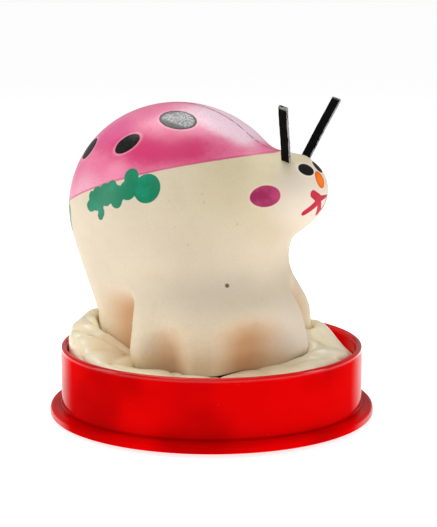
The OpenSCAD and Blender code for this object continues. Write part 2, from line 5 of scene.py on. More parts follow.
import bpy
import numpy as np
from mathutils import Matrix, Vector


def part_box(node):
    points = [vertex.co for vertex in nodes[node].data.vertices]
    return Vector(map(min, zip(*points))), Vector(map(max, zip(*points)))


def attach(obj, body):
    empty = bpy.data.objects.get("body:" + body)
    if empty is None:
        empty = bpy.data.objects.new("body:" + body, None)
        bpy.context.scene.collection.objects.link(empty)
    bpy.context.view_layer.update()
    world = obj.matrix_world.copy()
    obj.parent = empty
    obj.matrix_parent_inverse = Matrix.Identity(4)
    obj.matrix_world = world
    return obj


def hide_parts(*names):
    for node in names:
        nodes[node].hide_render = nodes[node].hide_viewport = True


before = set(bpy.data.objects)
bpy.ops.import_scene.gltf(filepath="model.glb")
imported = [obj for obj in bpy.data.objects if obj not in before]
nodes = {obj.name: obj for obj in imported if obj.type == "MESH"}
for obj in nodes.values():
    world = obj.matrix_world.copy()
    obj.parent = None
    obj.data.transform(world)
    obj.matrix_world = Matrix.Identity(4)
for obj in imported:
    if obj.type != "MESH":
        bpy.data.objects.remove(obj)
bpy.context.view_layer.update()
MM = 0.001

# ---- Camera and light ----
# The camera looks a little down at the figure's right side and nose, from the far end of a long lens.
# Two big soft boxes stand left and right of it, a third hangs overhead, and the floor is white card.
azimuth, elevation = radians(30), radians(10.4)
camera_distance = 415 * MM
camera_target = Vector((0, 0, 36.7 * MM))
camera_back = Vector((sin(azimuth) * cos(elevation), -cos(azimuth) * cos(elevation), sin(elevation)))
lens = bpy.data.cameras.new("camera")
lens.lens = 115.6
lens.sensor_width = 36
lens.shift_x = 0.0131
lens.clip_start = 0.01
camera = bpy.data.objects.new("camera", lens)
camera.location = camera_target + camera_back * camera_distance
camera.rotation_euler = camera_back.to_track_quat("Z", "Y").to_euler()
bpy.context.scene.collection.objects.link(camera)
bpy.context.scene.camera = camera
bpy.context.scene.view_settings.view_transform = "Standard"


def soft_box(name, turn, rise, distance, size, watts):
    """An area light that faces the toy from turn degrees right of the camera and rise degrees up.
    Its distance and size are in millimetres."""
    a, e = azimuth + radians(turn), radians(rise)
    back = Vector((sin(a) * cos(e), -cos(a) * cos(e), sin(e)))
    data = bpy.data.lights.new(name, "AREA")
    data.shape = "RECTANGLE"
    data.size, data.size_y = size[0] * MM, size[1] * MM
    data.energy = watts
    light = bpy.data.objects.new(name, data)
    light.location = camera_target + back * distance * MM
    light.rotation_euler = back.to_track_quat("Z", "Y").to_euler()
    bpy.context.scene.collection.objects.link(light)


soft_box("left_box", -84, 16, 420, (150, 320), 0.4)
soft_box("right_box", 82, 14, 420, (110, 320), 0.44)
soft_box("top_box", -150, 72, 430, (330, 300), 1.05)
soft_box("front_box", -18, 40, 520, (380, 260), 0.48)

world = bpy.data.worlds.new("studio")
bpy.context.scene.world = world
world.use_nodes = True
world.node_tree.nodes["Background"].inputs["Color"].default_value = (1, 1, 1, 1)
world.node_tree.nodes["Background"].inputs["Strength"].default_value = 0.24


# Shader graphs are written as arithmetic: a Wire is one output socket, and Finish adds any node.
class Wire:
    def __init__(self, finish, socket):
        self.finish, self.socket = finish, socket

    def maths(self, operation, a, b=0.0, c=0.0, clamp=False):
        settings = {"operation": operation, "use_clamp": clamp}
        return self.finish.add("ShaderNodeMath", settings, {0: a, 1: b, 2: c})

    def __add__(self, other): return self.maths("ADD", self, other)
    def __radd__(self, other): return self.maths("ADD", other, self)
    def __sub__(self, other): return self.maths("SUBTRACT", self, other)
    def __rsub__(self, other): return self.maths("SUBTRACT", other, self)
    def __mul__(self, other): return self.maths("MULTIPLY", self, other)
    def __rmul__(self, other): return self.maths("MULTIPLY", other, self)
    def __truediv__(self, other): return self.maths("DIVIDE", self, other)
    def __abs__(self): return self.maths("ABSOLUTE", self)
    def root(self): return self.maths("SQRT", self)
    def least(self, other): return self.maths("MINIMUM", self, other)
    def most(self, other): return self.maths("MAXIMUM", self, other)
    def clamp(self): return self.maths("ADD", self, 0.0, clamp=True)

    def step(self, edge0, edge1):
        """A smooth step from 0 at edge0 to 1 at edge1, which may lie in either order."""
        t = ((self - edge0) / (edge1 - edge0)).clamp()
        return t * t * (3 - 2 * t)


class Finish:
    def __init__(self, name, **surface):
        self.material = bpy.data.materials.new(name)
        self.material.use_nodes = True
        self.tree = self.material.node_tree
        self.surface = self.tree.nodes["Principled BSDF"]
        for socket, value in surface.items():
            self.surface.inputs[socket.replace("_", " ")].default_value = value

    def add(self, kind, settings=None, sockets=None, out=0):
        """Adds a node of that kind, makes its settings, then fills or links its sockets."""
        node = self.tree.nodes.new(kind)
        for name, value in (settings or {}).items():
            setattr(node, name, value)
        by_identifier = {s.identifier: s for s in node.inputs}
        for name, value in (sockets or {}).items():
            self.join(value, by_identifier[name] if name in by_identifier else node.inputs[name])
        by_identifier = {s.identifier: s for s in node.outputs}
        return Wire(self, by_identifier[out] if out in by_identifier else node.outputs[out])

    def join(self, value, socket):
        """Links a Wire to a socket, or sets the socket to a number or a colour."""
        if isinstance(value, Wire):
            self.tree.links.new(value.socket, socket)
        elif hasattr(value, "__len__") and len(value) == 3 and len(socket.default_value) == 4:
            socket.default_value = (*value, 1)
        else:
            socket.default_value = value

    def feed(self, **sockets):
        for name, value in sockets.items():
            self.join(value, self.surface.inputs[name.replace("_", " ")])

    def place(self):
        """The point of the piece that is being shaded, in metres, and its three coordinates."""
        point = self.add("ShaderNodeTexCoord", out="Object")
        node = self.tree.nodes.new("ShaderNodeSeparateXYZ")
        self.tree.links.new(point.socket, node.inputs[0])
        return point, *(Wire(self, node.outputs[i]) for i in range(3))

    def noise(self, point, scale, detail=2.0, roughness=0.5):
        sockets = {"Vector": point, "Scale": scale, "Detail": detail, "Roughness": roughness}
        return self.add("ShaderNodeTexNoise", None, sockets)

    def mix(self, amount, a, b):
        sockets = {"Factor_Float": amount, "A_Color": a, "B_Color": b}
        return self.add("ShaderNodeMix", {"data_type": "RGBA"}, sockets, "Result_Color")

    def bump(self, height, distance, strength=1.0):
        self.feed(Normal=self.add("ShaderNodeBump", None, {
            "Height": height, "Distance": distance, "Strength": strength}))


def srgb(r, g, b):
    """A colour given as 0 to 255 screen values, as the linear values that shaders take."""
    c = np.array([r, g, b]) / 255
    return tuple(float(x) for x in np.where(c <= 0.04045, c / 12.92, ((c + 0.055) / 1.055) ** 2.4))


card = Finish("white_card", Base_Color=(0.8, 0.8, 0.8, 1), Roughness=0.9,
              Emission_Color=(1, 1, 1, 1), Emission_Strength=0.78)
floor_mesh = bpy.data.meshes.new("floor")
floor_half, floor_z = 8.0, -1.0 * MM
floor_corners = [(x * floor_half, y * floor_half, floor_z) for x, y in ((-1, -1), (1, -1), (1, 1), (-1, 1))]
floor_mesh.from_pydata(floor_corners, [], [(0, 1, 2, 3)])
floor_mesh.materials.append(card.material)
floor = bpy.data.objects.new("floor", floor_mesh)
bpy.context.scene.collection.objects.link(floor)

# ---- Dish ----
# The dish is one injection moulding in glossy red polystyrene: a foot flange with a rounded lip, an
# upright wall, a rounded rim with a small step inside, a ledge, and four bosses for the screws.
flange_r, flange_h, wall_r, wall_in, rim_z = 40.0, 2.5, 37.1, 35.6, 17.0
ledge_in, ledge_top, recess_r, recess_z = 26.85, 2.7, 35.25, 1.2
boss_at, boss_r, boss_top, screw_r = 29.85, 2.6, 8.0, 1.1
key_at, key_hole_r, wall_cut = (-7.227, 11.511), 2.4, (30, 42)
smooth_below = radians(35)


def arc(centre, radius, start, end, count=10):
    """Points on a round corner of a profile, from start to end degrees."""
    a = np.radians(np.linspace(start, end, count))
    return np.stack([centre[0] + radius * np.cos(a), centre[1] + radius * np.sin(a)], 1)


def grid_faces(rows, columns, close_rows=False, close_columns=True, first=0):
    """Quads of a grid whose points are numbered row by row; either direction may close on itself."""
    i, j = np.meshgrid(np.arange(rows if close_rows else rows - 1),
                       np.arange(columns if close_columns else columns - 1), indexing="ij")
    i2, j2 = (i + 1) % rows, (j + 1) % columns
    quads = np.stack([i * columns + j, i * columns + j2, i2 * columns + j2, i2 * columns + j], -1)
    return first + quads.reshape(-1, 4)


def fan_faces(ring, pole, count):
    """Triangles from a ring of count points, whose first number is ring, to one point at the pole."""
    j = np.arange(count)
    return np.stack([ring + j, ring + (j + 1) % count, np.full(count, pole)], 1)


def make_mesh(name, points, *faces):
    """A smooth mesh of points in millimetres and arrays of quads or triangles."""
    mesh = bpy.data.meshes.new(name)
    loops = np.concatenate([f.ravel() for f in faces])
    sizes = np.concatenate([np.full(len(f), f.shape[1]) for f in faces])
    points = np.asarray(points, float).reshape(-1, 3) * MM
    mesh.vertices.add(len(points))
    mesh.vertices.foreach_set("co", points.ravel())
    mesh.loops.add(len(loops))
    mesh.loops.foreach_set("vertex_index", loops)
    mesh.polygons.add(len(sizes))
    mesh.polygons.foreach_set("loop_start", np.cumsum(sizes) - sizes)
    mesh.polygons.foreach_set("loop_total", sizes)
    mesh.polygons.foreach_set("use_smooth", np.ones(len(sizes), bool))
    mesh.update(calc_edges=True)
    mesh.validate()
    return mesh


def piece(name, mesh, finish, body, slot, *stands_for):
    """Makes an object of a mesh, gives it its finish, sets it on its body and hides what it replaces."""
    mesh.materials.clear()
    mesh.materials.append(finish.material)
    made = bpy.data.objects.new(name, mesh)
    bpy.context.scene.collection.objects.link(made)
    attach(made, body)
    if stands_for:
        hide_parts(*stands_for)
    return made


def turned(profile, columns=256):
    """Surface of revolution about Z: each profile point (r, z) becomes a ring of that radius."""
    a = 2 * pi * np.arange(columns) / columns
    r, z = np.asarray(profile, float)[:, :1], np.asarray(profile, float)[:, 1:]
    return np.stack([r * np.cos(a), r * np.sin(a), z + 0 * a], -1)


def on_y(points, at=(0, 0)):
    """Lays points that were turned about Z along Y, about a line through at = (x, z)."""
    return np.stack([at[0] - points[..., 0], points[..., 2], at[1] + points[..., 1]], -1)


def ring_mesh(name, profile, columns=96, along_y=None, move=(0, 0, 0)):
    """A closed profile turned into a ring, about Z, or about Y through along_y = (x, z)."""
    points = turned(profile, columns)
    points = points if along_y is None else on_y(points, along_y)
    return make_mesh(name, points + np.array(move), grid_faces(len(profile), columns, close_rows=True))


def solid(name, profile, columns=64, along_y=None, move=(0, 0, 0)):
    """A solid of revolution. Its profile (r, z) goes from the axis, up the outside, back to the axis."""
    profile = np.asarray(profile, float)
    poles = [[0, 0, profile[0, 1]], [0, 0, profile[-1, 1]]]
    points = np.vstack([turned(profile[1:-1], columns).reshape(-1, 3), poles])
    points = points if along_y is None else on_y(points, along_y)
    count = len(points) - 2
    return make_mesh(name, points + np.array(move), grid_faces(len(profile) - 2, columns),
                     fan_faces(0, count, columns)[:, ::-1], fan_faces(count - columns, count + 1, columns))


def combined(mesh, operation, *others):
    """The mesh joined with or cut by the others, which are used up."""
    base = bpy.data.objects.new("base_shape", mesh)
    bpy.context.scene.collection.objects.link(base)
    tools = [bpy.data.objects.new("tool_shape", other) for other in others]
    for tool in tools:
        bpy.context.scene.collection.objects.link(tool)
        change = base.modifiers.new("change", "BOOLEAN")
        change.operation, change.solver, change.object = operation, "EXACT", tool
    made = bpy.data.meshes.new_from_object(base.evaluated_get(bpy.context.evaluated_depsgraph_get()))
    for used in (base, *tools):
        bpy.data.objects.remove(used)
    made.set_sharp_from_angle(angle=smooth_below)
    return made


def bore(name, radius, start, end, columns=48, along_y=None, move=(0, 0, 0)):
    """A plain cylinder from start to end, to cut with."""
    return solid(name, [[0, start], [radius, start], [radius, end], [0, end]], columns, along_y, move)


red = Finish("red_polystyrene", Specular_IOR_Level=0.0, Coat_Roughness=0.08)
point, x, y, z = red.place()
grain = red.noise(point, 900, 3)
dust = red.noise(point, 2600, 1).step(0.79, 0.84)
ring = (x * x + y * y).root()
# Painted shade: the corner where the wall meets the flange is darkened towards deep red.
corner = ring.step(36.9 * MM, 37.2 * MM) * z.step(3.2 * MM, 2.4 * MM) * ring.step(38.2 * MM, 37.3 * MM)
tone = red.mix(red.noise(point, 45, 2).step(0.3, 0.7), srgb(186, 0, 1), srgb(230, 1, 2))
tone = red.mix(corner * 0.5, tone, srgb(120, 0, 0))
rim_band = z.step(15.8 * MM, 16.5 * MM) * 0.8
rubbed = red.noise(point, 60, 3).step(0.52, 0.72) * 0.12
sides = abs(x * cos(azimuth) + y * sin(azimuth)).step(33 * MM, 36.5 * MM)
red.feed(Coat_Weight=0.02 + rim_band + sides * (0.6 + rubbed))
red.feed(Base_Color=red.mix(dust * 0.5, tone, srgb(255, 190, 185)),
         Roughness=0.13 + 0.12 * grain + 0.3 * dust)
red.bump(red.noise(point, 160, 2) + 0.15 * grain, 0.06 * MM, 0.3)

dish_profile = np.vstack([
    [[recess_r, 0.0]],
    arc((flange_r - 0.6, 0.6), 0.6, -90, 0),
    arc((flange_r - 1.2, flange_h - 1.2), 1.2, 0, 90),
    arc((wall_r + 0.5, flange_h + 0.5), 0.5, -90, -180, 6),
    arc((wall_r - 0.6, rim_z - 0.6), 0.6, 0, 90),
    arc((wall_in + 0.6, rim_z - 0.15), 0.15, 90, 180, 4),
    [[wall_in + 0.45, rim_z - 0.7]],
    arc((wall_in + 0.3, rim_z - 1.0), 0.3, 90, 180, 5),
    [[wall_in, ledge_top], [ledge_in, ledge_top], [ledge_in, recess_z], [recess_r, recess_z]]])
boss_profile = np.vstack([[[0, recess_z + 0.2], [boss_r, recess_z + 0.2]],
                          arc((boss_r - 0.3, boss_top - 0.3), 0.3, 0, 90, 4), [[0, boss_top]]])
hole_top = boss_top - 1.2
screw_turns = np.radians([45, 135, 225, 315])
screw_places = [(boss_at * cos(a), boss_at * sin(a), 0.0) for a in screw_turns]
dish_columns = 320
dish_mesh = ring_mesh("dish", dish_profile, dish_columns)
dish_mesh = combined(dish_mesh, "UNION", *(solid("boss", boss_profile, 48, move=at) for at in screw_places))
dish_mesh = combined(dish_mesh, "DIFFERENCE",
                     *(bore("screw_hole", screw_r, 0, hole_top, 32, move=at) for at in screw_places),
                     bore("key_way", key_hole_r, *wall_cut, along_y=key_at))
piece("dish", dish_mesh, red, "base", "red_plastic", "base_ring")

# ---- Latex figure ----
# One hollow moulding in cream latex. Its outside is a smooth blend of four ellipsoids: domed back,
# head, trunk and foot, with hollows pressed in between the legs. Its paint is airbrushed through
# masks: wing case, leaves, cheeks and face, with glossy black for the spots and eyes.
skin_z, skin_t, foot_z = 14.0, 1.4, 24.5
axis_x, low_rows, fan_z, fan_rise = -8, 0.3, 31, 15
reach, halvings = 60.0, 24
hollow_run, splay_z, splay_run = 10, 19, 6
tuck_in, tuck_top, lip_h, lip_r = 1.2, 19.5, 0.35, 1.7
antenna_root, antenna_way = (22.95, 5.0, 63.8), (0.2254, 0.537, 0.8128)
# Each hollow: direction, reach to either side in degrees, height where it runs out, and depth
hollows = ((-114, 30, 7, 34, 6.4), (-86, 13, 16, 28, 2.6), (-37, 25, 26, 30, 4.0), (16, 12, 14, 35, 4.8),
           (62, 18, 18, 29, 3.6), (105, 16, 16, 29, 3.2), (150, 20, 20, 31, 4.2))
# Each leg that splays: direction, reach to either side in degrees, and how far it stands out at its foot
splays = ((-102, 8, 18, 2.6), (-3, 17, 14, 3.2), (40, 14, 14, 1.0))


def blend(a, b, width):
    """The lesser of two fields, with the corner between them rounded over width."""
    h = np.maximum(width - np.abs(a - b), 0) / width
    return np.minimum(a, b) - h * h * width / 4


def ellipsoid(p, centre, radii, tilt=0.0):
    """About the distance from an ellipsoid that is tilted in the X-Z plane: k (k - 1) / |q / r|."""
    t = radians(tilt)
    dx, dz = p[..., 0] - centre[0], p[..., 2] - centre[1]
    q = np.stack([(dx * cos(t) + dz * sin(t)) / radii[0], p[..., 1] / radii[1],
                  (dz * cos(t) - dx * sin(t)) / radii[2]], -1)
    k = np.linalg.norm(q, axis=-1) + 1e-9
    return k * (k - 1) / (np.linalg.norm(q / np.array(radii), axis=-1) + 1e-9)


def smooth(t):
    """0 below 0, 1 above 1, and a smooth step between."""
    t = np.clip(t, 0, 1)
    return t * t * (3 - 2 * t)


def pressed(p):
    """How deep the skin is pressed in between the legs, in millimetres: each hollow is a bell
    (1 - d^2)^2 across its directions, and comes in below its upper end over hollow_run."""
    angle = np.degrees(np.arctan2(p[..., 1], p[..., 0]))
    deep = np.zeros_like(angle)
    for at, before, after, top, depth in hollows:
        d = (angle - at + 540) % 360 - 180
        d = np.clip(np.where(d < 0, -d / before, d / after), 0, 1)
        deep = np.maximum(deep, depth * (1 - d * d) ** 2 * smooth((top - p[..., 2]) / hollow_run))
    return deep


def splayed(p):
    """How far the legs stand out round their feet: a bell across directions, and exp(-h^2) in height."""
    angle = np.degrees(np.arctan2(p[..., 1], p[..., 0]))
    out = np.zeros_like(angle)
    for at, before, after, stand in splays:
        d = (angle - at + 540) % 360 - 180
        d = np.clip(np.where(d < 0, -d / before, d / after), 0, 1)
        out = out + stand * (1 - d * d) ** 2 * np.exp(-((p[..., 2] - splay_z) / splay_run) ** 2)
    return out


def skin_field(p):
    """About the distance of points from the outside of the skin, negative inside. Below foot_z the
    foot goes straight down, but for a slight tuck at the hem; a lip stands up round each slit."""
    q = np.concatenate([p[..., :2], np.maximum(p[..., 2:], foot_z)], -1)
    dome = ellipsoid(q, (-9, 49.65), (28.7, 24, 26.2), -2.3)
    head = ellipsoid(q, (21.75, 56.1), (8.3, 10.5, 8.5))
    trunk = ellipsoid(q, (-7, 33.8), (24.3, 22, 23.2))
    foot = ellipsoid(q, (-0.35, foot_z), (24.2, 25, 14.4))
    tuck = tuck_in * smooth((tuck_top - p[..., 2]) / 6)
    mirrored = np.concatenate([p[..., :1], np.abs(p[..., 1:2]), p[..., 2:]], -1)
    lip = lip_h * np.exp(-(np.linalg.norm(mirrored - antenna_root, axis=-1) / lip_r) ** 2)
    plain = blend(blend(blend(dome, head, 10), trunk, 6), foot, 6)
    return plain + pressed(p) + tuck - splayed(p) - lip


def skin_surface(columns, rows, inset=0.0):
    """Grid over the figure: low rows look out level from an upright axis, the rest fan up to the crown.
    Each point is where its line leaves the field, found by halving."""
    u = 2 * pi * np.arange(columns) / columns
    v = np.linspace(0, 1, rows)[:, None]
    low = v < low_rows
    w = np.where(low, v / low_rows, (v - low_rows) / (1 - low_rows))
    rise = np.where(low, 0, pi / 2 * w)
    height = np.where(low, skin_z + (fan_z - skin_z) * w, fan_z + fan_rise * np.minimum(1, 1.6 * w))
    start = np.stack([np.where(low, axis_x * w, axis_x), 0 * v, height], -1)
    line = np.stack([np.cos(rise) * np.cos(u), np.cos(rise) * np.sin(u), np.sin(rise) + 0 * u], -1)
    near, far = np.zeros((rows, columns)), np.full((rows, columns), reach)
    for _ in range(halvings):
        middle = (near + far) / 2
        inside = skin_field(start + line * middle[..., None]) < -inset
        near, far = np.where(inside, middle, near), np.where(inside, far, middle)
    return start + line * near[..., None]


class Paint(Finish):
    """Masks for paint on the figure, in millimetres and alike on both its sides."""
    def __init__(self, name, **surface):
        super().__init__(name, **surface)
        self.point, x, y, z = self.place()
        self.x, self.y, self.z = x / MM, y / MM, z / MM
        self.side = abs(self.y)

    def along(self, centre, way, mirror=True):
        """How far a point lies from centre along a direction."""
        side = self.side if mirror else self.y
        return ((self.x - centre[0]) * way[0] + (side - centre[1]) * way[1]
                + (self.z - centre[2]) * way[2])

    def oval(self, centre, long_way, long_r, short_way, short_r, mirror=True):
        """About how far outside an oval's edge a point lies."""
        u = self.along(centre, long_way, mirror) / long_r
        v = self.along(centre, short_way, mirror) / short_r
        return ((u * u + v * v).root() - 1) * short_r

    def ball(self, centre, radii):
        """Distance from a centre as a share of the radii."""
        dx, dy, dz = self.x - centre[0], self.side - centre[1], self.z - centre[2]
        dx, dy, dz = dx / radii[0], dy / radii[1], dz / radii[2]
        return (dx * dx + dy * dy + dz * dz).root()

    def discs(self, a, b, circles, width=0.5):
        """How far outside the rounded union of circles (a, b, radius) a point (a, b) lies."""
        out = None
        for ca, cb, r in circles:
            da, db = a - ca, b - cb
            one = (da * da + db * db).root() - r
            out = one if out is None else out.maths("SMOOTH_MIN", out, one, width)
        return out

    def stroke(self, start, end, r_start, r_end):
        """How far outside a tapered brush stroke in the Y-Z plane a point lies."""
        dy, dz = end[0] - start[0], end[1] - start[1]
        py, pz = self.y - start[0], self.z - start[1]
        t = ((py * dy + pz * dz) / (dy * dy + dz * dz)).clamp()
        ey, ez = py - t * dy, pz - t * dz
        return (ey * ey + ez * ez).root() - r_start - t * (r_end - r_start)


def unit(*v):
    return tuple(np.array(v) / np.linalg.norm(v))


latex = Paint("painted_latex", Specular_IOR_Level=0.22, Coat_Roughness=0.26, Coat_IOR=1.9)
x, y, z, side, point = latex.x, latex.y, latex.z, latex.side, latex.point
cloud = latex.noise(point, 55, 2)
mottle = latex.noise(point, 260, 3)
speckle = latex.noise(point, 2400, 2)
wobble = (latex.noise(point, 520, 2) - 0.5) * 0.5
deep = latex.add("ShaderNodeAttribute", {"attribute_name": "pressed"}, None, "Fac")

# Bare latex: rosy on the flank, yellower towards head and crown, lighter low down as painted light, tan in
# the hollows as airbrushed tint and painted shade, and painted dark shade in the deepest creases
tone = latex.mix(cloud.step(0.35, 0.7), srgb(220, 206, 182), srgb(227, 213, 188))
tone = latex.mix(z.step(38, 60) * x.step(-8, 14) * 0.8, tone, srgb(224, 210, 172))
# Painted light: the lower legs are lightened, standing in for light that the dish keeps off them.
tone = latex.mix(z.step(34, 22) * 0.8, tone, srgb(248, 232, 200))
# The tan in the hollows is partly airbrushed tint and partly painted shade.
tone = latex.mix((deep / 3.8 + (mottle - 0.5) * 0.15).clamp() * 0.8, tone, srgb(222, 166, 114))
# Painted shade: the deepest creases low between the legs are darkened to brown.
tone = latex.mix(deep.step(4.3, 6.2) * z.step(31, 19) * 0.9, tone, srgb(120, 70, 34))
tone = latex.mix(speckle.step(0.5, 0.64) * 0.12, tone, srgb(196, 176, 146))
tone = latex.mix((mottle - 0.5).step(0.0, 0.3) * 0.25, tone, srgb(214, 196, 164))
gloss = 0.05

# Wing case: pink, deeper along the flank, with a painted highlight towards crown and tip, and a line along
# its edges.
# Its lower edge is a shallow parabola in X.
edge = z - (60.7 + 0.342 * (x + 6.6) - 0.00319 * (x + 6.6) * (x + 29.7)) + wobble * 0.25
case_front = x.step(19.0, 18.5)
case = edge.step(-0.06, 0.06) * case_front
streak = latex.noise(point, 130, 4, 0.6)
pink = latex.mix(cloud.step(0.3, 0.7), srgb(236, 112, 154), srgb(242, 136, 170))
pale = latex.ball((-23, 19, 55.5), (9, 9, 6)).step(1.1, 0.2) * 0.55
pink = latex.mix(pale, pink, srgb(250, 200, 216))
flank = latex.ball((-4.5, 15.8, 66.2), (22, 10, 6.2)) + (streak - 0.5) * 0.9
pink = latex.mix(flank.step(1.15, 0.35) * 0.95, pink, srgb(218, 36, 108))
blotch = latex.ball((-18.5, 12.5, 69), (9, 6, 5)) + (streak - 0.5) * 1.2
pink = latex.mix(blotch.step(1.1, 0.3) * 0.7, pink, srgb(226, 88, 150))
# Painted highlight: near-white pink along the crown and towards the tip.
bright = latex.ball((5, 3, 71.5), (17, 6.5, 6)) + (streak - 0.5) * 0.6
pink = latex.mix(bright.step(1.2, 0.5) * 0.95, pink, srgb(255, 226, 238))
pink = latex.mix(speckle.step(0.5, 0.62) * 0.18, pink, srgb(200, 60, 110))
tone = latex.mix(case, tone, pink)
gloss = gloss + case * 0.35
rim_line = edge.step(0.42, 0.22) * edge.step(-0.22, -0.06) * case_front
tone = latex.mix(rim_line * 0.7, tone, srgb(206, 74, 120))
back_line = (side + wobble * 0.8).step(0.34, 0.12) * case * x.step(-16, -8)
tone = latex.mix(back_line * latex.noise(point, 700, 2).step(0.36, 0.46) * 0.85, tone, srgb(74, 48, 58))

# Leaves: a ragged spray of green on either flank, and one over the tail
spray = latex.discs(x, z, (
    (-4.5, 57.6, 3.35), (-9.0, 60.0, 1.95), (-9.4, 57.0, 2.35), (-12.6, 55.6, 2.35), (-12.3, 54.1, 1.6),
    (-14.2, 57.4, 1.55), (-16.2, 56.6, 1.5), (-15.6, 54.8, 2.0), (-18.6, 55.4, 1.75), (-18.2, 53.2, 1.9),
    (-20.3, 54.6, 1.3), (-20.6, 52.3, 1.5), (-16.9, 51.2, 1.15), (-17.2, 50.2, 0.85)))
ragged = wobble * x.step(-10, -17) * 1.6
tail_leaf = latex.discs(side, z, ((0, 49.0, 5.0), (5.5, 49.2, 4.0), (9.2, 48.3, 3.9), (11.0, 50.6, 3.0),
                                    (13.4, 47.6, 3.4)))
leaf = (spray + ragged).step(0.07, -0.07) * side.step(10, 12)
leaf = leaf.most(tail_leaf.step(0.07, -0.07) * x.step(-30, -32))
green = latex.mix((mottle + (speckle - 0.5) * 0.5).step(0.45, 0.75), srgb(0, 126, 88), srgb(2, 146, 110))
tone = latex.mix(leaf, tone, green)
gloss = gloss * (1 - leaf) + leaf * 0.1

# Spots: two on each wing and one low on each flank behind, in thick gloss black
spots = latex.oval((-3.5, 9.9, 72.6), unit(1, 0.12, -0.14), 4.8, unit(0.14, -0.87, 0.42), 3.6)
spots = spots.least(latex.oval((-13.0, 17.2, 67.0),
                               unit(0.82, -0.34, 0.46), 3.5, unit(0.6, 0.5, -0.62), 2.35))
spots = spots.least((latex.ball((-27.4, 12.4, 64.8), (3.3, 3.3, 3.0)) - 1) * 2.8)
black = (spots + wobble * 0.3).step(0.06, -0.06)
halo = spots.step(0.75, 0.2) * (1 - black)
tone = latex.mix(halo * 0.35, tone, srgb(250, 190, 210))

# Face: paler and rosier, with a cheek on either side, two eyes, and a nose and lips on the middle
tone = latex.mix(x.step(19, 27) * z.step(66, 60) * (1 - case) * 0.7, tone, srgb(238, 224, 210))
cheek = latex.oval((20.8, 10.9, 56.2), unit(0.985, 0, 0.17), 3.5, unit(-0.17, 0, 0.985), 2.5) + wobble * 0.25
cheek_on = cheek.step(0.08, -0.08)
tone = latex.mix(cheek.step(0.7, 0.1) * 0.35, tone, srgb(246, 214, 196))
tone = latex.mix(cheek_on, tone, latex.mix(mottle.step(0.4, 0.7), srgb(160, 34, 88), srgb(196, 66, 116)))
eye = latex.oval((26.98, 2.76, 61.85), (0.796, -0.52, -0.304), 2.05, (0.182, -0.303, 0.935), 1.3)
eye_on = (eye + wobble * 0.2).step(0.06, -0.06) * x.step(20, 22)
nose = latex.oval((29.1, 0.0, 59.3), (0, 1, 0), 1.9, unit(1.6, 0, -3.9), 2.15, mirror=False)
nose_on = nose.step(0.07, -0.07) * x.step(22, 24)
tone = latex.mix((eye.least(nose)).step(0.6, 0.1) * x.step(20, 22) * 0.35, tone, srgb(250, 244, 232))
tone = latex.mix(nose_on, tone, latex.mix(nose.step(-1.4, 0), srgb(255, 128, 6), srgb(240, 100, 6)))
lips = latex.stroke((-3.7, 56.4), (-1.5, 55.0), 0.95, 1.1)
for stroke in (((-1.5, 55.0), (2.8, 55.3), 0.85, 0.3), ((-1.5, 54.6), (-5.0, 52.1), 0.95, 0.75),
               ((-1.2, 54.4), (0.2, 51.7), 0.75, 0.95), ((0.2, 51.4), (2.6, 53.2), 0.45, 0.25),
               ((2.6, 53.2), (3.0, 55.3), 0.25, 0.3)):
    lips = lips.least(latex.stroke(*stroke))
lips_on = (lips + wobble * 0.25).step(0.07, -0.07) * x.step(22, 24)
tone = latex.mix(lips_on, tone, latex.mix(mottle.step(0.4, 0.65), srgb(200, 4, 58), srgb(176, 2, 52)))

# Torn, dirty latex round the slits, a few specks, and the black last of all
round_mm = (1, 1, 1)
slit = latex.ball(antenna_root, round_mm)
tone = latex.mix(slit.step(2.4, 1.0) * (mottle.step(0.4, 0.6)) * 0.6, tone, srgb(150, 128, 92))
speck = latex.ball((12.67, 14.96, 34.88), round_mm).step(0.85, 0.65) * y.step(0, -1)
fleck = latex.ball((4.8, 19.1, 57.5), round_mm).step(0.45, 0.2)
fleck = fleck + latex.ball((8.3, 17.9, 54.7), round_mm).step(0.8, 0.3)
fleck = fleck * y.step(0, -1) * 0.35 + latex.noise(point, 700, 1).step(0.76, 0.8) * (1 - case) * 0.2
tone = latex.mix(speck * 0.9, tone, srgb(96, 70, 50))
tone = latex.mix(fleck.clamp(), tone, srgb(166, 128, 84))
ink = black.most(eye_on)
tone = latex.mix(ink, tone, latex.mix(speckle.step(0.5, 0.66) * 0.5, srgb(5, 4, 5), srgb(46, 44, 46)))
upper = latex.along((-3.5, 9.9, 72.6), unit(0.14, -0.87, 0.42)).step(-2.4, -1.2)
worn = spots.step(-0.15, -0.7) * (0.2 + 0.8 * upper) * (0.35 + 0.65 * speckle.step(0.42, 0.56))
gloss = gloss * (1 - ink) + ink * (0.05 + worn * black)
paint = case.most(leaf).most(cheek_on)
latex.feed(Base_Color=tone, Coat_Weight=gloss,
           Roughness=0.6 - 0.16 * paint - 0.2 * ink + (mottle - 0.5) * 0.1)
relief = mottle * 0.35 + speckle * 0.12 + cloud * 0.8 + ink * 0.8 + paint * 0.15 + wobble * 0.2
latex.bump(relief, 0.12 * MM, 0.5)

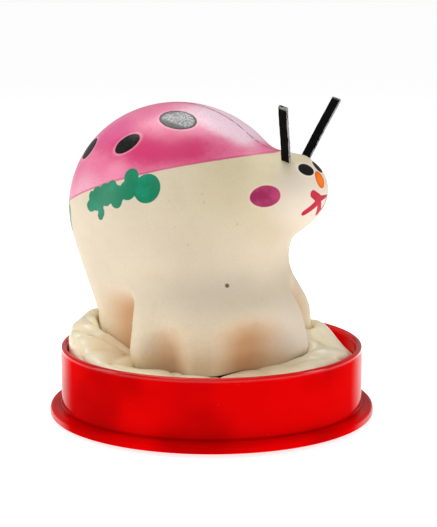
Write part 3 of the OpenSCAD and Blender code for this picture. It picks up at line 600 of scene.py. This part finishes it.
skin_rows, inner_rows, skin_columns = 200, 60, 288
skin = skin_surface(skin_columns, skin_rows)
lining = skin_surface(skin_columns, inner_rows, skin_t)
skin_points = np.vstack([skin[:-1].reshape(-1, 3), skin[-1].mean(0),
                         lining[:-1].reshape(-1, 3), lining[-1].mean(0)])
outer_count = (skin_rows - 1) * skin_columns + 1
outer_last = skin_columns * (skin_rows - 2)
inner_last = outer_count + skin_columns * (inner_rows - 2)
hem = np.arange(skin_columns)
hem_next = (hem + 1) % skin_columns
figure_mesh = make_mesh(
    "figure", skin_points,
    grid_faces(skin_rows - 1, skin_columns),
    fan_faces(outer_last, outer_count - 1, skin_columns),
    grid_faces(inner_rows - 1, skin_columns, first=outer_count)[:, ::-1],
    fan_faces(inner_last, len(skin_points) - 1, skin_columns)[:, ::-1],
    np.stack([hem, outer_count + hem, outer_count + hem_next, hem_next], 1))
depth = figure_mesh.attributes.new("pressed", "FLOAT", "POINT")
depth.data.foreach_set("value", pressed(skin_points).astype(np.float32))
piece("figure", figure_mesh, latex, "base", "latex_figure", "figure_skin")

# ---- Latex skirt ----
# The figure's thin latex skirt is a separate strip of sheet, glued to the figure's hem and gathered
# down into the dish. The hoop holds its lower edge against the wall. The arbor passes a hole in it.
skirt_t, hem_r, hem_z, arbor_way_r, arbor_way_cut = 0.5, 35.2, 3.4, 2.0, (28, 42)
skin_near, skin_halvings = 40.0, 20
# Direction in degrees, height where the skirt meets the figure, and height near the wall
heights = np.array([
    (-180, 22.5, 19.2), (-165, 23.2, 20.2), (-150, 22.8, 20.6), (-141, 21.4, 20), (-135, 20, 19),
    (-128, 17, 17.8), (-118, 15, 16.8), (-105, 14.6, 15.8), (-90, 14.4, 15), (-75, 14.2, 14),
    (-60, 14, 13.6), (-45, 14, 13.6), (-30, 14.4, 14.2), (-15, 15.6, 15.8), (0, 18, 16.6), (15, 20, 15.4),
    (30, 21, 13.6), (45, 21, 13.2), (90, 20, 15), (135, 21, 17), (180, 22.5, 19.2)])
# Where rolls lie close: direction, reach in degrees, and share of their full height
laps = ((-128, 26, 1), (8, 24, 1), (-80, 22, 0.6))
gather_count, gather_push, roll_count, roll_push = 9, 0.6, 4.2, 1.3


def skin_radius(a, z):
    """How far from the upright axis the figure's outside lies, in directions a at heights z."""
    near, far = np.zeros_like(a), np.full_like(a, skin_near)
    for _ in range(skin_halvings):
        r = (near + far) / 2
        inside = skin_field(np.stack([r * np.cos(a), r * np.sin(a), z], -1)) < 0
        near, far = np.where(inside, r, near), np.where(inside, far, r)
    return near


def spline(knots, t):
    """A uniform cubic B-spline through the plane: knots is (count, columns, 2), its ends repeated."""
    n = len(knots) - 3
    i = np.minimum((t * n).astype(int), n - 1)
    f = (t * n - i)[:, None, None]
    weights = ((1 - f) ** 3, 3 * f ** 3 - 6 * f * f + 4, -3 * f ** 3 + 3 * f * f + 3 * f + 1, f ** 3)
    return sum(w * knots[i + k] for k, w in enumerate(weights)) / 6


def gather(phase, sharp=0.55):
    """A fold profile with round crests and narrow valleys, from -0.5 to 0.5: |sin|^sharp - 1/2."""
    return np.abs(np.sin(phase)) ** sharp - 0.5


def skirt_surface(columns, rows):
    """Rows run from the hem up the wall, over the crest and down the figure. Folds push the surface
    along its normal where it is slack, between 0.3 and 0.8 of the way: gathers run outwards and sway
    with direction, and rolls run round, strongest in the laps."""
    a = 2 * pi * np.arange(columns) / columns
    turn = (np.degrees(a) + 180) % 360 - 180
    at_skin, at_wall = (np.interp(turn, heights[:, 0], heights[:, k]) for k in (1, 2))
    low = np.minimum(at_skin - 2.5, 14.5)
    r_top, r_mid, r_low = (skin_radius(a, z) for z in (at_skin - 0.8, (at_skin + low) / 2, low))
    one = np.ones(columns)
    hem, end = (hem_r * one, hem_z * one), (r_low + 0.25, low)
    # Control points (r, z): up the wall, over the crest near the wall, in to the figure and down it
    knots = [hem, hem, hem, (hem_r * one, 9 * one), (hem_r * one, 13.5 * one), (hem_r * one, at_wall - 0.6),
             (hem_r - 1.6 * one, at_wall + 1.0), (0.55 * hem_r + 0.45 * r_top, (at_wall + at_skin) / 2 + 0.9),
             (r_top + 2.2, at_skin + 0.5), (r_top + 0.5, at_skin - 0.6), (r_mid + 0.3, (at_skin + low) / 2),
             end, end, end]
    t = np.linspace(0, 1, rows)
    line = spline(np.array([np.stack(k, -1) for k in knots]), t)
    r, z = line[..., 0], line[..., 1]
    t = t[:, None]
    wave = a + 0.13 * np.sin(3 * a + 0.6) + 0.06 * np.sin(7 * a + 2)
    slack = smooth((t - 0.3) / 0.15) * smooth((0.8 - t) / 0.1)
    gathers = gather(gather_count * (wave + 0.35 * (t - 0.5) * np.sin(2 * a + 1)))
    gathers = gathers * (0.75 + 0.35 * np.sin(5 * a))
    lap = sum(share * np.exp(-((turn - at) / width) ** 2) for at, width, share in laps)
    rolls = gather(pi * (roll_count * t + 0.5 * np.sin(4 * a + 0.5) + 0.25 * np.sin(9 * a)))
    rolls = rolls * np.minimum(lap, 1)
    push = slack * (gather_push * gathers + roll_push * rolls)
    dr, dz = np.gradient(r, axis=0), np.gradient(z, axis=0)
    size = np.hypot(dr, dz) + 1e-9
    crease = np.clip(-push, 0, 1)
    outside, within = (np.stack([(r + dz / size * d) * np.cos(a), (r + dz / size * d) * np.sin(a),
                                 z - dr / size * d], -1) for d in (push, push - skirt_t))
    return outside, within, crease


sheet_latex = Finish("skirt_latex", Specular_IOR_Level=0.5, Coat_Weight=0.5, Coat_Roughness=0.16)
point = sheet_latex.place()[0]
mottle = sheet_latex.noise(point, 240, 3)
crease = sheet_latex.add("ShaderNodeAttribute", {"attribute_name": "crease"}, None, "Fac")
tone = sheet_latex.mix(mottle.step(0.35, 0.7), srgb(255, 246, 216), srgb(254, 238, 200))
# Painted shade: the valleys of the folds are tinted tan.
tone = sheet_latex.mix(crease.step(0.08, 0.5) * 0.55, tone, srgb(228, 188, 118))
sheet_latex.feed(Base_Color=tone, Roughness=0.36 + 0.12 * (mottle - 0.5))
sheet_latex.bump(mottle + 0.2 * sheet_latex.noise(point, 1500, 2), 0.08 * MM, 0.4)

skirt_rows, skirt_columns = 64, 480
outside, within, crease_depth = skirt_surface(skirt_columns, skirt_rows)
skirt_mesh = make_mesh("skirt", np.vstack([outside, within[::-1]]),
                       grid_faces(2 * skirt_rows, skirt_columns, close_rows=True))
crease_values = skirt_mesh.attributes.new("crease", "FLOAT", "POINT")
crease_both = np.vstack([crease_depth, crease_depth[::-1]])
crease_values.data.foreach_set("value", crease_both.astype(np.float32).ravel())
arbor_way = bore("arbor_way", arbor_way_r, *arbor_way_cut, along_y=key_at)
skirt_mesh = combined(skirt_mesh, "DIFFERENCE", arbor_way)
skirt = piece("skirt", skirt_mesh, sheet_latex, "base", "latex_skirt", "latex_skirt")

# ---- Antennae ----
# Two flat strips cut from black rubber sheet 0.85 mm thick and pushed into slits in the crown, where
# the latex grips their ends. Their cut edges show a little paler, and a painted highlight runs in a broken
# line along one side and the end.
strip_l, strip_in, strip_w, strip_t = 16.6, 1.0, 2.25, 0.85
strip_sides, strip_steps = 48, 60
strip_broad = np.array([0.9636, 0, -0.2672])


def strip_mesh(name, side):
    """A strip of rounded oblong section, |u|^8 + |v|^8 = 1, that runs from its slit to its square end
    and sways a little, by sines, across its thin direction."""
    way = np.array(antenna_way) * (1, side, 1)
    thin = np.cross(way, strip_broad)
    a = 2 * pi * np.arange(strip_sides) / strip_sides
    u, v = (np.sign(f) * np.abs(f) ** 0.25 for f in (np.cos(a), np.sin(a)))
    t = np.concatenate([[-strip_in], np.linspace(-strip_in, strip_l - 0.1, strip_steps),
                        [strip_l - 0.03, strip_l]])
    scale = np.concatenate([[0.9], np.ones(strip_steps), [0.97, 0.9]])[:, None, None]
    sway = 0.12 * np.sin(0.45 * t + side)[:, None, None] + 0.05 * np.sin(2.1 * t)[:, None, None]
    rings = (np.array(antenna_root) * (1, side, 1) + t[:, None, None] * way
             + scale * (u[None, :, None] * strip_w / 2 * strip_broad + v[None, :, None] * strip_t / 2 * thin)
             + sway * thin * 0.5)
    points = np.vstack([rings.reshape(-1, 3), rings[0].mean(0), rings[-1].mean(0)])
    count = len(rings) * strip_sides
    made = make_mesh(name, points, grid_faces(len(rings), strip_sides),
                     fan_faces(0, count, strip_sides)[:, ::-1],
                     fan_faces(count - strip_sides, count + 1, strip_sides))
    # Mask for the paler cut edge and the painted highlight: one narrow side, the lit one, and the end face.
    rim = made.attributes.new("cut_edge_and_sheen", "FLOAT", "POINT")
    edge = np.tile(smooth((u - 0.9) / 0.08), (len(rings), 1))
    edge = np.maximum(edge, smooth((t - strip_l + 0.5) / 0.4)[:, None] * np.abs(v))
    rim.data.foreach_set("value", np.append(edge.ravel(), [0, 1]).astype(np.float32))
    made.set_sharp_from_angle(angle=radians(50))
    return made


rubber = Finish("black_rubber_strip", Specular_IOR_Level=0.05)
point = rubber.place()[0]
cut = rubber.add("ShaderNodeAttribute", {"attribute_name": "cut_edge_and_sheen"}, None, "Fac")
broken = rubber.noise(point, 900, 3, 0.6)
tone = rubber.mix(broken.step(0.45, 0.75), srgb(2, 2, 2), srgb(14, 14, 15))
# Painted highlight over a slightly paler cut edge: broken light grey along the lit side and the end.
tone = rubber.mix(cut * broken.step(0.4, 0.52) * 0.8, tone, srgb(170, 170, 168))
rubber.feed(Base_Color=tone, Roughness=0.5 + 0.2 * broken)
rubber.bump(broken, 0.08 * MM, 0.5)
piece("antenna_far", strip_mesh("antenna_far", 1), rubber, "base", "black_strip", "antenna_left")
piece("antenna_near", strip_mesh("antenna_near", -1), rubber, "base", "black_strip", "antenna_right")

# ---- Hoop and bottom plate ----
# A white plastic hoop lies inside the skirt's lower edge. The bottom closes with a disc of bright
# tinplate, held by four slotted countersunk screws of turned steel, which go up into the bosses.
def metal(name, light, dark, roughness, streaks=(1, 1, 1), **surface):
    """Bare metal: two tones in soft clouds, and fine scratches drawn out along the lesser streaks."""
    made = Finish(name, Metallic=1.0, **surface)
    point = made.place()[0]
    drawn = made.add("ShaderNodeVectorMath", {"operation": "MULTIPLY"}, {0: point, 1: streaks})
    clouds, scratches = made.noise(point, 140, 3), made.noise(drawn, 2200, 3, 0.6)
    made.feed(Base_Color=made.mix(clouds.step(0.35, 0.7), srgb(*light), srgb(*dark)),
              Roughness=roughness + 0.12 * (clouds - 0.5) + 0.16 * (scratches - 0.5))
    made.bump(scratches + 0.5 * clouds, 0.02 * MM, 0.5)
    return made


def moulded(name, light, dark, roughness, **surface):
    """Moulded plastic or rubber: two close tones and a faint grain."""
    made = Finish(name, **surface)
    point = made.place()[0]
    clouds, grain = made.noise(point, 120, 3), made.noise(point, 1600, 2)
    made.feed(Base_Color=made.mix(clouds.step(0.35, 0.7), srgb(*light), srgb(*dark)),
              Roughness=roughness + 0.1 * (grain - 0.5))
    made.bump(grain, 0.03 * MM, 0.4)
    return made


def finish_nodes(finish, *names):
    """Gives drawn parts, which are shown as they are, their finish."""
    for name in names:
        nodes[name].data.materials.clear()
        nodes[name].data.materials.append(finish.material)


white = moulded("white_plastic", (236, 232, 218), (226, 220, 202), 0.35)
tinplate = metal("tinplate", (206, 209, 212), (186, 190, 195), 0.3, (1, 0.08, 1))
steel = metal("turned_steel", (188, 188, 190), (166, 167, 170), 0.24, (1, 0.1, 1))
screw_top, screw_low, head_over, head_h = 6.8, 0.04, 1.06, 1.12
slot_half, slot_w, slot_deep = 3, 0.6, 0.55
screw_profile = [[0, screw_low], [screw_r + head_over - 0.06, screw_low], [screw_r + head_over, 0.1],
                 [screw_r, head_h], [screw_r, screw_top], [0, screw_top]]


def block(name, low, high):
    """A box between two corners, in millimetres."""
    corners = [(x, y, z) for x in (low[0], high[0]) for y in (low[1], high[1]) for z in (low[2], high[2])]
    return make_mesh(name, corners, np.array([[0, 1, 3, 2], [4, 6, 7, 5], [0, 4, 5, 1], [2, 3, 7, 6],
                                              [0, 2, 6, 4], [1, 5, 7, 3]]))


screws = combined(solid("screw", screw_profile, 40, move=screw_places[0]), "UNION",
                  *(solid("screw", screw_profile, 40, move=at) for at in screw_places[1:]))
slots = [block("slot", (at[0] - slot_half, at[1] - slot_w / 2, -0.5),
               (at[0] + slot_half, at[1] + slot_w / 2, slot_deep)) for at in screw_places]
screws = combined(screws, "DIFFERENCE", *slots)
piece("screws", screws, steel, "base", "steel", "plate_screws")
hoop_out, hoop_t, hoop_h, hoop_edge = 34.1, 1.2, 3.0, 0.3
hoop_r = (hoop_out - hoop_edge, hoop_out - hoop_t + hoop_edge)
hoop_z = (ledge_top + hoop_edge, ledge_top + hoop_h - hoop_edge)
hoop_profile = np.vstack([arc((hoop_r[i], hoop_z[k]), hoop_edge, start, start + 90, 5)
                          for i, k, start in ((0, 0, -90), (0, 1, 0), (1, 1, 90), (1, 0, 180))])
piece("hoop", ring_mesh("hoop", hoop_profile, 192), white, "base", "white_plastic", "hem_hoop")
finish_nodes(tinplate, "base_plate")

# ---- Clockwork ----
# Two tinplate frame plates on four steel pillars hold a blued spring, a brass great wheel with its
# ratchet and click, a second brass wheel and two pinions. The parts are pressed or riveted together.
brass = metal("stamped_brass", (214, 176, 96), (190, 150, 76), 0.26)
blued = metal("blued_spring_steel", (86, 94, 116), (60, 68, 92), 0.28, (1, 0.05, 1))
finish_nodes(tinplate, "frame_plate_left", "frame_plate_right", "caster_bracket")
finish_nodes(steel, "frame_pillars", "frame_rivets", "click_pin", "ratchet_click", "winding_arbor",
             "ratchet_wheel", "second_arbor", "drive_axle", "caster_fork", "caster_pivot", "caster_axle")
finish_nodes(brass, "great_wheel", "second_pinion", "second_wheel", "axle_pinion")
finish_nodes(blued, "mainspring", "click_spring")

# ---- Key ----
# The winding key is nickel-plated steel: two round eyes of 1.4 mm plate, pressed and brazed into a
# turned hub, whose socket is driven on to the end of the arbor behind the dish.
key_y, key_hub_r, key_hub_len, key_socket, arbor_r = 41.8, 2.6, 7.5, 6.0, 1.5
eye_r, eye_x, eye_t, eye_hole_x, eye_hole_r = 4.6, 5.0, 1.4, 5.8, 1.9
hub_edge, hub_dome, neck_at, neck_half, neck_deep, plate_edge = 0.4, 0.9, 1.8, 0.3, 0.25, 0.4
nickel = metal("nickel_plate", (214, 213, 208), (196, 195, 190), 0.16)


def rounded_slab(inner, outer, half, edge):
    """Profile (r, z) from inner out to rounded outer corners and back, between z = -half and half."""
    return np.vstack([[[inner, -half]], arc((outer - edge, edge - half), edge, -90, 0, 6),
                      arc((outer - edge, half - edge), edge, 0, 90, 6), [[inner, half]]])


key_end, neck_y = key_y + key_hub_len, key_y + neck_at
hub_profile = np.vstack([
    [[0, key_y]], arc((key_hub_r - hub_edge, key_y + hub_edge), hub_edge, -90, 0, 6),
    [[key_hub_r, neck_y - neck_half], [key_hub_r - neck_deep, neck_y], [key_hub_r, neck_y + neck_half]],
    arc((key_hub_r - hub_dome, key_end - hub_dome), hub_dome, 0, 90, 8), [[0, key_end]]])
eye_profile = rounded_slab(0, eye_r, eye_t / 2, plate_edge)
eye_places = [(key_at[0] + s * eye_x, key_y + eye_r, key_at[1]) for s in (-1, 1)]
hole_places = [(key_at[0] + s * eye_hole_x, key_y + eye_r, key_at[1]) for s in (-1, 1)]
key_mesh = combined(solid("hub", hub_profile, 64, key_at), "UNION",
                    *(solid("eye", eye_profile, 96, move=at) for at in eye_places))
key_mesh = combined(key_mesh, "DIFFERENCE",
                    *(bore("hole", eye_hole_r, -2, 2, move=at) for at in hole_places),
                    bore("socket", arbor_r, key_y - 1, key_y + key_socket, along_y=key_at))
piece("key", key_mesh, nickel, "winding", "key_plate", "winding_key")

# ---- Wheels ----
# Red plastic drive wheels are pressed on to the axle, each with a black rubber tyre stretched over
# its rim. The tyres are grooved across. The caster's wheel is a plain ivory roller.
wheel_plastic = moulded("wheel_plastic", (196, 30, 24), (176, 22, 18), 0.32)
tyre_rubber = moulded("tyre_rubber", (34, 33, 32), (22, 22, 22), 0.62, Specular_IOR_Level=0.3)
finish_nodes(wheel_plastic, "drive_wheel_left", "drive_wheel_right")
tyre_wall, tread_edge, grooves, groove_depth, groove_columns = 1.1, 0.45, 40, 0.22, 12
roller_edge, roller_bore = 0.4, 0.85


def middle_and_size(box):
    """The middle, radius and half width, in millimetres, of a drawn wheel with this box and its axle on Y."""
    low, high = (np.array(c) / MM for c in box)
    return (low + high) / 2, (high[0] - low[0]) / 2, (high[1] - low[1]) / 2


def tyre(node):
    """A tyre in the drawn one's place: grooves narrow its radius where |cos(n a / 2)| comes near 1."""
    middle, radius, half = middle_and_size(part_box(node))
    profile = rounded_slab(radius - tyre_wall, radius, half, tread_edge)
    columns = grooves * groove_columns
    a = 2 * pi * np.arange(columns) / columns
    groove = smooth((np.abs(np.cos(grooves * a / 2)) - 0.75) / 0.2)
    tread = smooth((profile[:, 0] - radius + 0.3) / 0.25)[:, None]
    points = turned(profile, columns)
    points[..., :2] *= 1 - (tread * groove * groove_depth / radius)[..., None]
    points = on_y(points, (middle[0], middle[2])) + np.array([0, middle[1], 0])
    return make_mesh(node, points, grid_faces(len(profile), columns, close_rows=True))


for node in ("tyre_left", "tyre_right"):
    piece("rubber_" + node, tyre(node), tyre_rubber, "drive", "tyre_black", node)
roller_middle, roller_r, roller_half = middle_and_size(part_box("caster_wheel"))
roller_profile = rounded_slab(roller_bore, roller_r, roller_half, roller_edge)
roller_mesh = ring_mesh("roller", roller_profile, 96, (roller_middle[0], roller_middle[2]),
                        (0, roller_middle[1], 0))
piece("roller", roller_mesh, white, "caster_roll", "white_plastic", "caster_wheel")
